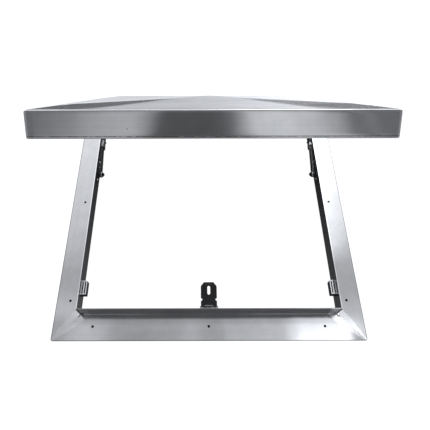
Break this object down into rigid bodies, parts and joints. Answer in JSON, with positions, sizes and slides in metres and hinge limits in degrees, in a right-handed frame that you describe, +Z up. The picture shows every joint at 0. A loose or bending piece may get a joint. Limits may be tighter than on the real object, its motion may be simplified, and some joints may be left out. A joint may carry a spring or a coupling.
{
  "type": "deck hatch",
  "caption": "Square sheet-steel deck hatch: flanged frame with upstand, low pyramid lid on rear hinges, telescopic side stays, slotted latch plate and magnetic catches.",
  "frame": {"origin": "centre of the square opening, on the underside of the frame's flange", "axes": "+X right, +Y back towards the hinges, +Z up out of the deck"},
  "size_m": [0.72, 0.72, 0.4737],
  "materials": {
    "frame_steel": "brushed stainless sheet, ground at the welded mitres",
    "lid_steel": "brushed stainless sheet, grain along each side",
    "weld": "small weld beads, left rough",
    "hinge_steel": "satin stainless",
    "bright_steel": "bright rivets, nuts and catch parts",
    "dark_steel": "dark oxidised steel, satin",
    "magnet": "nickel plated",
    "seal_rubber": "matt black rubber"
  },
  "bodies": {
    "frame": {"frame_front": "frame_steel", "frame_rear": "frame_steel", "frame_left": "frame_steel", "frame_right": "frame_steel", "frame_weld_beads": "weld", "latch_plate": "dark_steel", "catch_left_case": "bright_steel", "catch_left_magnet": "magnet", "catch_left_poles": "bright_steel", "catch_left_rivets": "bright_steel", "stay_left_base": "dark_steel", "stay_left_bush": "dark_steel", "stay_left_washer": "bright_steel", "stay_left_cap_nut": "bright_steel", "stay_left_pivot_bolt": "bright_steel", "stay_left_base_rivets": "bright_steel", "hinge_left_frame_leaf": "hinge_steel", "hinge_left_pin": "hinge_steel", "catch_right_case": "bright_steel", "catch_right_magnet": "magnet", "catch_right_poles": "bright_steel", "catch_right_rivets": "bright_steel", "stay_right_base": "dark_steel", "stay_right_bush": "dark_steel", "stay_right_washer": "bright_steel", "stay_right_cap_nut": "bright_steel", "stay_right_pivot_bolt": "bright_steel", "stay_right_base_rivets": "bright_steel", "hinge_right_frame_leaf": "hinge_steel", "hinge_right_pin": "hinge_steel", "hinge_frame_rivets": "bright_steel"},
    "lid": {"lid_pan": "lid_steel", "lid_seal": "seal_rubber", "lid_staple_loop": "hinge_steel", "lid_staple_base": "hinge_steel", "lid_left_rib": "hinge_steel", "catch_left_keeper": "bright_steel", "stay_left_lid_bracket": "dark_steel", "hinge_left_lid_leaf": "hinge_steel", "lid_right_rib": "hinge_steel", "catch_right_keeper": "bright_steel", "stay_right_lid_bracket": "dark_steel", "hinge_right_lid_leaf": "hinge_steel", "hinge_lid_rivets": "bright_steel"},
    "left_stay_bar": {"stay_left_bar": "dark_steel"},
    "right_stay_bar": {"stay_right_bar": "dark_steel"},
    "left_stay_sleeve": {"stay_left_sleeve": "dark_steel", "stay_left_boss": "dark_steel", "stay_left_guide_pin": "bright_steel", "stay_left_upper_pin": "bright_steel", "stay_left_lock_spring": "bright_steel", "stay_left_spring_rivets": "bright_steel"},
    "right_stay_sleeve": {"stay_right_sleeve": "dark_steel", "stay_right_boss": "dark_steel", "stay_right_guide_pin": "bright_steel", "stay_right_upper_pin": "bright_steel", "stay_right_lock_spring": "bright_steel", "stay_right_spring_rivets": "bright_steel"}
  },
  "joints": [
    {"name": "lid_hinge", "type": "hinge", "parent": "frame", "child": "lid", "pos_m": [0, 0.311, 0.008], "axis": [-1, 0, 0], "range_deg": [-45, 0]},
    {"name": "left_stay_pivot", "type": "hinge", "parent": "frame", "child": "left_stay_bar", "pos_m": [-0.2877, 0.07, 0.03], "axis": [-1, 0, 0], "range_deg": [0, 15.74]},
    {"name": "left_stay_slide", "type": "slide", "parent": "left_stay_bar", "child": "left_stay_sleeve", "axis": [0, 0.9748, 0.2231], "range_m": [-0.03816, 0]},
    {"name": "right_stay_pivot", "type": "hinge", "parent": "frame", "child": "right_stay_bar", "pos_m": [0.2877, 0.07, 0.03], "axis": [-1, 0, 0], "range_deg": [0, 15.74]},
    {"name": "right_stay_slide", "type": "slide", "parent": "right_stay_bar", "child": "right_stay_sleeve", "axis": [0, 0.9748, 0.2231], "range_m": [-0.03816, 0]}
  ],
  "couplings": [
    {"joint": "left_stay_pivot", "follows": "lid_hinge", "ratio": -0.34963},
    {"joint": "left_stay_slide", "follows": "lid_hinge", "m_per_rad": 0.048581},
    {"joint": "right_stay_pivot", "follows": "lid_hinge", "ratio": -0.34963},
    {"joint": "right_stay_slide", "follows": "lid_hinge", "m_per_rad": 0.048581}
  ]
}
